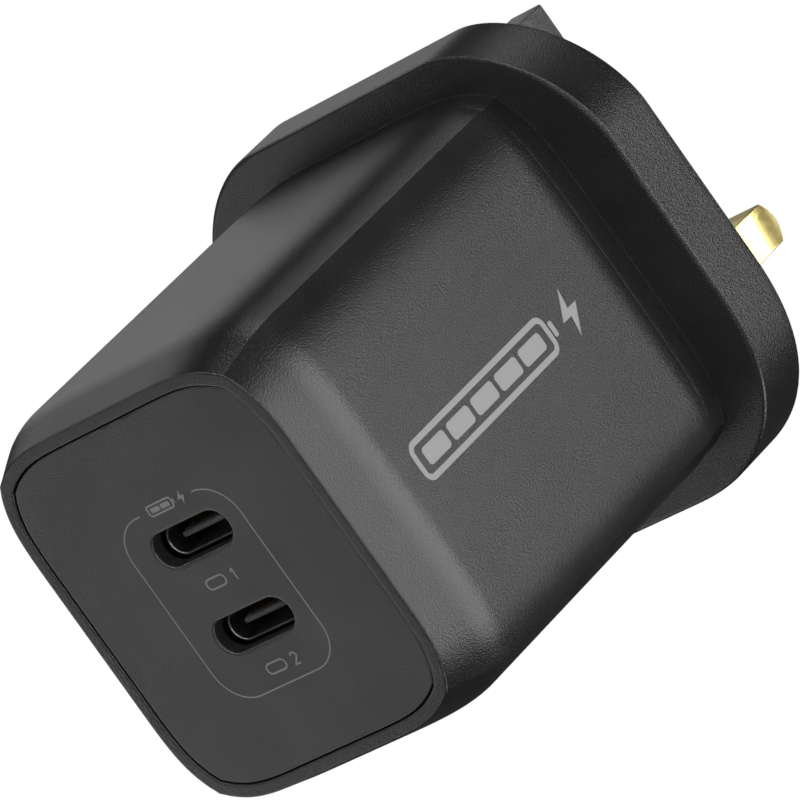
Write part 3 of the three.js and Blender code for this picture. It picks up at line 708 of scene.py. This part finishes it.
inside_finishes = {
    "circuit_board": finish(
        "solder_mask", (0.012, 0.09, 0.035), (0.02, 0.13, 0.05), 4, 0.4, (0.3, 0.45), bump=0.01
    ),
    "ferrite": finish(
        "ground_ferrite", (0.03, 0.028, 0.026), (0.07, 0.065, 0.06), 2, 0.2, (0.6, 0.85), bump=0.02
    ),
    "bobbin_plastic": finish(
        "bobbin_plastic", (0.015, 0.015, 0.015), (0.03, 0.03, 0.03), 3, 0.2, (0.4, 0.55), bump=0.01
    ),
    "winding_tape": finish(
        "winding_tape", (0.7, 0.5, 0.04), (0.85, 0.66, 0.1), 3, 0.5, (0.25, 0.4),
        bump=0.02, stretch=(0.2, 0.2, 1),
    ),
    "copper_sheet": finish(
        "copper_sheet", (0.6, 0.3, 0.18), (0.72, 0.4, 0.26), 3, 0.3, (0.25, 0.45), metallic=1.0, bump=0.004
    ),
    "copper_winding": finish(
        "enamelled_wire", (0.45, 0.16, 0.06), (0.7, 0.32, 0.14), 1, 0.5, (0.2, 0.4), metallic=1.0, bump=0.08
    ),
    "insulation_sheet": finish(
        "fibre_sheet", (0.6, 0.58, 0.5), (0.75, 0.73, 0.65), 2, 0.2, (0.7, 0.85),
        bump=0.02, stretch=(0.3, 1, 1),
    ),
    "capacitor_sleeve": finish(
        "shrunk_sleeve", (0.01, 0.02, 0.05), (0.025, 0.04, 0.09), 4, 0.3, (0.2, 0.35), bump=0.004
    ),
    "capacitor_can": finish(
        "drawn_can", (0.6, 0.6, 0.62), (0.78, 0.78, 0.8), 2, 0.2, (0.25, 0.4), metallic=1.0, bump=0.003
    ),
    "film_case": finish("film_case", (0.22, 0.23, 0.25), (0.32, 0.33, 0.35), 3, 0.2, (0.35, 0.5), bump=0.006),
    "disc_ceramic": finish(
        "dipped_disc", (0.03, 0.14, 0.34), (0.06, 0.22, 0.46), 2, 0.3, (0.25, 0.4), bump=0.02
    ),
    "fuse_case": finish("fuse_case", (0.24, 0.2, 0.13), (0.36, 0.3, 0.2), 2, 0.2, (0.35, 0.5), bump=0.006),
    "chip_package": finish(
        "chip_package", (0.012, 0.012, 0.013), (0.03, 0.03, 0.032), 1.5, 0.15, (0.5, 0.7), bump=0.01
    ),
    "copper_strip": finish(
        "tinned_strip", (0.55, 0.5, 0.44), (0.7, 0.64, 0.56), 2, 0.3, (0.25, 0.4), metallic=1.0, bump=0.004
    ),
}
inside_slots = {
    "port_board": "circuit_board",
    "main_board": "circuit_board",
    "output_inductor_1": "ferrite",
    "output_inductor_2": "ferrite",
    "transformer_core": "ferrite",
    "transformer_bobbin": "bobbin_plastic",
    "transformer_winding": "winding_tape",
    "heat_spreader": "copper_sheet",
    "common_mode_choke": "copper_winding",
    "insulation_card": "insulation_sheet",
    "bulk_capacitor_1": "capacitor_sleeve",
    "bulk_capacitor_2": "capacitor_sleeve",
    "output_capacitor_1": "capacitor_can",
    "output_capacitor_2": "capacitor_can",
    "x_capacitor": "film_case",
    "y_capacitor": "disc_ceramic",
    "fuse": "fuse_case",
    "bridge_rectifier": "chip_package",
    "power_transistor": "chip_package",
    "control_chip": "chip_package",
    "power_delivery_chip": "chip_package",
    "line_lead": "copper_strip",
    "neutral_lead": "copper_strip",
}
for node, slot in inside_slots.items():
    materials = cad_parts[node].data.materials
    materials.clear()
    materials.append(inside_finishes[slot])

# ----------------------------------------------------------------------------------------------------
# Plug shell
# Collar and flange of the plug in one matt black moulding, open at the back. The flange's front edge has
# a narrow chamfer, and the spigot in front of the collar is welded into the housing.
# ----------------------------------------------------------------------------------------------------

flange_low, flange_high = node_box("plug_shell")
flange_half_width = flange_high[0]
flange_front_y = -6.35
seam_gap = 0.12
seam_y = housing_back_y + seam_gap
flange_top_corner = (13.3, 1.74)
flange_bottom_corner = (16.8, 2.32)
flange_wall = 1.8
collar_inset = 0.15
spigot_inset = 2.1
bore_inset = 3.3
spigot_length = 2.55


def flange_outline(inset=0.0):
    """Outline of the flange moved inward by `inset`: rounder corners at the top than at the bottom."""
    top_reach = flange_top_corner[0] - inset
    bottom_reach = flange_bottom_corner[0] - inset
    top = (flange_high[2] - inset, top_reach, top_reach, flange_top_corner[1])
    bottom = (flange_low[2] + inset, bottom_reach, bottom_reach, flange_bottom_corner[1])
    return outline(flange_half_width - inset, top, bottom)


def plug_shell_surface():
    """Profile carried round the plug: spigot, collar, flange front and side, back edge and hollow."""
    front_chamfer, back_edge, root, collar_edge, flat_step = 0.12, 0.25, 0.02, 0.06, 0.1

    def body(inset, y):
        """The body's outline moved inward."""
        return ring(body_outline(1, inset), y)

    def flange(inset, y):
        """The flange's outline moved inward."""
        return ring(flange_outline(inset), y)

    spigot_front = seam_y - spigot_length
    hollow_front = flange_front_y + flange_wall
    rings = [body(bore_inset, spigot_front), body(spigot_inset, spigot_front), body(spigot_inset, seam_y)]
    rings += [body(collar_inset + collar_edge + flat_step, seam_y)]
    collar_front = body(collar_inset + collar_edge, seam_y)
    rings += rounded(collar_front, body(collar_inset, seam_y), body(collar_inset, seam_y + collar_edge), 4)
    foot_in = body(collar_inset, flange_front_y - root)
    foot_out = body(collar_inset - root, flange_front_y)
    rings += between(rings[-1], foot_in, 4)
    rings += rounded(foot_in, body(collar_inset, flange_front_y), foot_out, 5)
    rings += between(foot_out, flange(front_chamfer + crisp_spacing, flange_front_y), 10)
    rings += [
        flange(drop, flange_front_y + front_chamfer - drop)
        for drop in (front_chamfer, front_chamfer - crisp_spacing, crisp_spacing, 0)
    ]
    rings += [flange(0, flange_front_y + front_chamfer + crisp_spacing)]
    rings += between(rings[-1], flange(0, -back_edge), 8)
    rings += rounded(flange(0, -back_edge), flange(0, 0), flange(back_edge, 0), 4)
    rings += [flange(back_edge + flat_step, 0), flange(flange_wall, 0), flange(flange_wall, hollow_front)]
    rings += [body(bore_inset, hollow_front)]
    return skin(rings)


make_piece("plug_body", [plug_shell_surface()], matt_black, replaces=["plug_shell"])

# ----------------------------------------------------------------------------------------------------
# Pin plate
# The plate that closes the plug's back, welded into the shell's hollow. It has three rectangular holes
# with bosses behind them, which hold the pins. It is the face that meets the socket.
# ----------------------------------------------------------------------------------------------------

plate_low = node_box("pin_plate")[0]
plate_inset = 2.1
skirt_wall = 1.2
plate_thickness = 2.4
boss_wall = 1.6
hole_gap = 0.15
sleeve_nodes = ["line_pin_sleeve", "neutral_pin_sleeve"]
earth_low, earth_high = node_box("earth_pin")
earth_neck_inset = 0.4
boss_front_y = earth_low[1]


def pin_holes():
    """Middle and half sizes of the three holes: the pins' sections with a little clearance."""
    holes = []
    for node in sleeve_nodes:
        low, high = node_box(node)
        half = (high - low) / 2 + hole_gap
        holes.append((((low + high) / 2)[[0, 2]], half[0], half[2]))
    half = (earth_high - earth_low) / 2 - earth_neck_inset + hole_gap
    holes.append((((earth_low + earth_high) / 2)[[0, 2]], half[0], half[2]))
    return holes


def pin_plate_surface():
    """Flanged plate pierced by the three holes, each with a boss standing from its inner side."""
    back_edge, hole_edge, hole_corner = 0.25, 0.12, 0.2

    def side(inset, y):
        """The plate's outline moved inward."""
        return ring(flange_outline(plate_inset + inset), y)

    skirt_front = plate_low[1]
    front = -plate_thickness
    outer = [side(skirt_wall + face_step, front), side(skirt_wall, front)]
    outer += [side(skirt_wall, skirt_front), side(0, skirt_front)]
    outer += between(side(0, skirt_front), side(0, -back_edge), 5)
    outer += rounded(side(0, -back_edge), side(0, 0), side(back_edge, 0), 4)
    outer += [side(back_edge + face_step, 0)]
    walls = [outer]
    for middle, half_x, half_z in pin_holes():

        def hole(widened, y):
            """The hole's outline, widened."""
            return ring(soft_rectangle(middle, half_x + widened, half_z + widened, hole_corner + widened), y)

        boss = [hole(boss_wall + face_step, front), hole(boss_wall, front)]
        boss += [hole(boss_wall, boss_front_y), hole(0, boss_front_y)]
        boss += between(hole(0, boss_front_y), hole(0, -hole_edge), 5)
        boss += rounded(hole(0, -hole_edge), hole(0, 0), hole(hole_edge, 0), 3)
        boss += [hole(hole_edge + face_step, 0)]
        walls.append(boss)
    return pierced_plate(walls, -1, 1)


make_piece("socket_plate", [pin_plate_surface()], matt_black, replaces=["pin_plate"])

# ----------------------------------------------------------------------------------------------------
# Pins
# Line and neutral are brass bars with a convex, chamfered end, necked where a black sleeve is moulded over
# them. The earth pin is solid black plastic with a bevelled nose. All three are pressed into the plate.
# ----------------------------------------------------------------------------------------------------

bright_brass = finish(
    "bright_brass", (0.88, 0.7, 0.25), (0.92, 0.77, 0.32), 4, 0.25, (0.3, 0.36),
    bump=0.0008, metallic=1.0, stretch=(1, 0.25, 1),
)
satin_black = finish(
    "satin_black", (0.025, 0.025, 0.0255), (0.07, 0.07, 0.071), 5, 0.16, (0.28, 0.36), bump=0.034
)

pin_dome = 1.1
pin_chamfer = 0.45
pin_chamfer_drop = 0.3
core_half = np.array([5.1, 2.7]) / 2
core_gap = 0.15
core_overlap = 0.4
brass_edge = 0.08
brass_skirt = 0.02


def blade_surface(low, high, back_y):
    """Bar whose section in Y and Z is a rectangle with a convex end, carried across X. The end's bulge
    falls off evenly over the chamfer at each side."""
    middle_x = (low[0] + high[0]) / 2
    half_x, half_z = (high[0] - low[0]) / 2, (high[2] - low[2]) / 2
    rise = np.linspace(-1, 1, 25)
    rings = []
    flat = half_x - pin_chamfer
    stations = [half_x, half_x - brass_skirt, flat, flat - 0.05, *np.linspace(flat - 0.1, 0.1 - flat, 9)]
    stations += [0.05 - flat, -flat, brass_skirt - half_x, -half_x]
    for x in stations:
        inside = min((half_x - abs(x)) / pin_chamfer, 1.0)
        bulge = pin_dome - pin_chamfer_drop * (1 - inside)
        skirt = brass_edge * (1 - min((half_x - abs(x)) / brass_skirt, 1.0))
        reach = half_z - skirt
        end = high[1] - pin_dome + bulge * (1 - rise**2)
        ys = np.concatenate([[back_y, back_y], end])
        zs = np.concatenate([[reach, -reach], rise * reach])
        rings.append(np.stack([np.full(len(ys), middle_x + x), ys, zs], 1))
    return skin(rings, "caps")


def round_bar(low, high, corner, nose=0.0):
    """Bar along Y with rounded long edges. With a nose its far end narrows evenly on all sides."""
    middle = ((low + high) / 2)[[0, 2]]
    half = (high - low) / 2
    end_edge, bevel_edge, tip_edge = 0.1, 0.12, 0.15
    back, end = low[1], high[1]

    def section(inset, y):
        """The bar's section moved inward."""
        return ring(soft_rectangle(middle, half[0] - inset, half[2] - inset, corner), y)

    rings = [section(end_edge, back), section(0, back + end_edge)]
    rings += between(rings[-1], section(0, end - nose - end_edge), 6)
    if nose:
        shoulder = section(0, end - nose - bevel_edge)
        bevel = section(bevel_edge, end - nose + bevel_edge)
        bevel_end = section(nose - bevel_edge, end - bevel_edge)
        rings += rounded(shoulder, section(0, end - nose), bevel, 4)
        rings += between(bevel, bevel_end, 3)
        rings += rounded(bevel_end, section(nose, end), section(nose + tip_edge, end), 4)
    else:
        rings += rounded(section(0, end - end_edge), section(0, end), section(end_edge, end), 3)
    return skin(rings, "caps")


def sleeve_surface(low, high):
    """Rectangular tube: the wall's profile, rounded at its far end, carried round the pin."""
    middle = ((low + high) / 2)[[0, 2]]
    half = (high - low) / 2
    thickness = half[[0, 2]] - core_half - core_gap
    end_edge = 0.12

    def tube(share, y):
        """The sleeve's section a share of the way in from its outer side to its bore."""
        inner = half[[0, 2]] - share * thickness
        return ring(soft_rectangle(middle, inner[0], inner[1], 0.25 * (1 - share) + 0.05), y)

    rings = [tube(0, low[1]), *between(tube(0, low[1]), tube(0, high[1] - end_edge), 6)]
    rings += rounded(tube(0, high[1] - end_edge), tube(0, high[1]), tube(0.25, high[1]), 4)
    rings += [tube(1, high[1]), *between(tube(1, high[1]), tube(1, low[1]), 6), tube(1, low[1])]
    return skin(rings)


for name in ("line", "neutral"):
    pin_low, pin_high = node_box(f"{name}_pin")
    sleeve_low, sleeve_high = node_box(f"{name}_pin_sleeve")
    blade_back = sleeve_high[1] + core_gap
    blade_low = np.array([pin_low[0], blade_back, pin_low[2]])
    middle = (pin_low + pin_high) / 2
    core_low = np.array([middle[0] - core_half[0], pin_low[1], middle[2] - core_half[1]])
    core_high = np.array([middle[0] + core_half[0], blade_back + core_overlap, middle[2] + core_half[1]])
    parts = [blade_surface(blade_low, pin_high, blade_back), round_bar(core_low, core_high, 0.15)]
    make_piece(f"{name}_pin_bar", parts, bright_brass, replaces=[f"{name}_pin"])
    tube = [sleeve_surface(sleeve_low, sleeve_high)]
    make_piece(f"{name}_pin_cover", tube, satin_black, replaces=[f"{name}_pin_sleeve"])

earth_start_y = 0.15
neck_end_y = 0.65
earth_nose = 0.9
earth_blade_low = np.array([earth_low[0], earth_start_y, earth_low[2]])
neck_inset = np.array([earth_neck_inset, 0, earth_neck_inset])
neck_low = earth_low + neck_inset
neck_high = earth_high - neck_inset
neck_high[1] = neck_end_y
earth_parts = [round_bar(earth_blade_low, earth_high, 0.2, earth_nose), round_bar(neck_low, neck_high, 0.15)]
make_piece("earth_pin_bar", earth_parts, satin_black, replaces=["earth_pin"])

# ----------------------------------------------------------------------------------------------------
# Floor and light
# A plain white floor just under the flange, and soft white panels round the charger, each set where one
# of its faces or edges mirrors it. The floor takes and casts no shadow and isn't mirrored in the
# charger, so the panels that stand lower than it light the charger too.
# ----------------------------------------------------------------------------------------------------

floor_size = 6.0
floor_mesh = bpy.data.meshes.new("floor")
half = floor_size / 2
floor_drop = 0.02
floor_z = (flange_low[2] - floor_drop) * MM
floor_corners = [(x * half, y * half, floor_z) for x, y in ((-1, -1), (1, -1), (1, 1), (-1, 1))]
floor_mesh.from_pydata(floor_corners, [], [(0, 1, 2, 3)])
floor = bpy.data.objects.new("floor", floor_mesh)
bpy.context.scene.collection.objects.link(floor)

floor_white = bpy.data.materials.new("floor_white")
floor_white.use_nodes = True
nodes, links = floor_white.node_tree.nodes, floor_white.node_tree.links
nodes.clear()
glow = nodes.new("ShaderNodeEmission")
surface = nodes.new("ShaderNodeOutputMaterial")
links.new(glow.outputs["Emission"], surface.inputs["Surface"])
floor_mesh.materials.append(floor_white)
floor.visible_diffuse = False
floor.visible_glossy = False
floor.visible_shadow = False

charger_middle = np.array([0, -20, 8]) * MM
softbox_distance = 1.0


def softbox(name, azimuth, elevation, width, height, power):
    """Rectangular area light one metre from the charger's middle and facing it, in a direction given by its
    azimuth from +X and its elevation, in degrees. Width and height are in metres, power is in watts."""
    turned, raised = np.radians([azimuth, elevation])
    level = np.cos(raised)
    direction = np.array([level * np.cos(turned), level * np.sin(turned), np.sin(raised)])
    light = bpy.data.lights.new(name, "AREA")
    light.shape = "RECTANGLE"
    light.size = width
    light.size_y = height
    light.energy = power
    box = bpy.data.objects.new(name, light)
    facing = Vector((-direction).tolist()).to_track_quat("-Z", "Y").to_matrix().to_4x4()
    box.matrix_world = Matrix.Translation((charger_middle + direction * softbox_distance).tolist()) @ facing
    box.visible_camera = False
    bpy.context.scene.collection.objects.link(box)


softbox("right_tall", 2, -8, 0.35, 1.1, 5.0)
softbox("right_middle", 20, 2, 0.3, 0.5, 1.0)
softbox("right_wall", 30, -7, 0.3, 0.6, 3.5)
softbox("right_lower", 30, -33, 0.5, 0.3, 2.5)
softbox("left_wall", 209, -8, 0.4, 0.5, 1.2)
softbox("left_lower", 202, -31, 0.4, 0.3, 1.0)
softbox("front", 270, 0, 0.3, 0.3, 1.5)
softbox("front_top", 258, 45, 0.6, 0.3, 3.0)
softbox("front_right", 290, 28, 0.3, 0.3, 1.0)
softbox("front_lower", 300, -55, 0.3, 0.3, 3.0)
softbox("rear_left", 136, 14, 0.3, 0.3, 0.15)
softbox("rear_left_high", 144, 31, 0.3, 0.3, 0.25)
softbox("rear", 95, -8, 0.6, 0.5, 1.5)
softbox("rear_top", 90, 45, 0.3, 0.3, 0.4)
softbox("right_top", 45, 45, 0.3, 0.3, 0.2)
softbox("top", 60, 65, 0.3, 0.3, 1.5)
softbox("edge_right", 316, -8, 0.25, 0.35, 3.0)
softbox("edge_upper", 309, 22, 0.3, 0.3, 2.0)
softbox("edge_corner", 290, 54, 0.4, 0.3, 1.5)
softbox("edge_top", 192, 45, 0.3, 0.3, 1.0)

world = bpy.data.worlds.new("studio")
bpy.context.scene.world = world
world.use_nodes = True
world.node_tree.nodes["Background"].inputs["Color"].default_value = (1, 1, 1, 1)
world.node_tree.nodes["Background"].inputs["Strength"].default_value = 0.05
bpy.context.scene.view_settings.view_transform = "Standard"
bpy.context.scene.view_settings.look = "None"
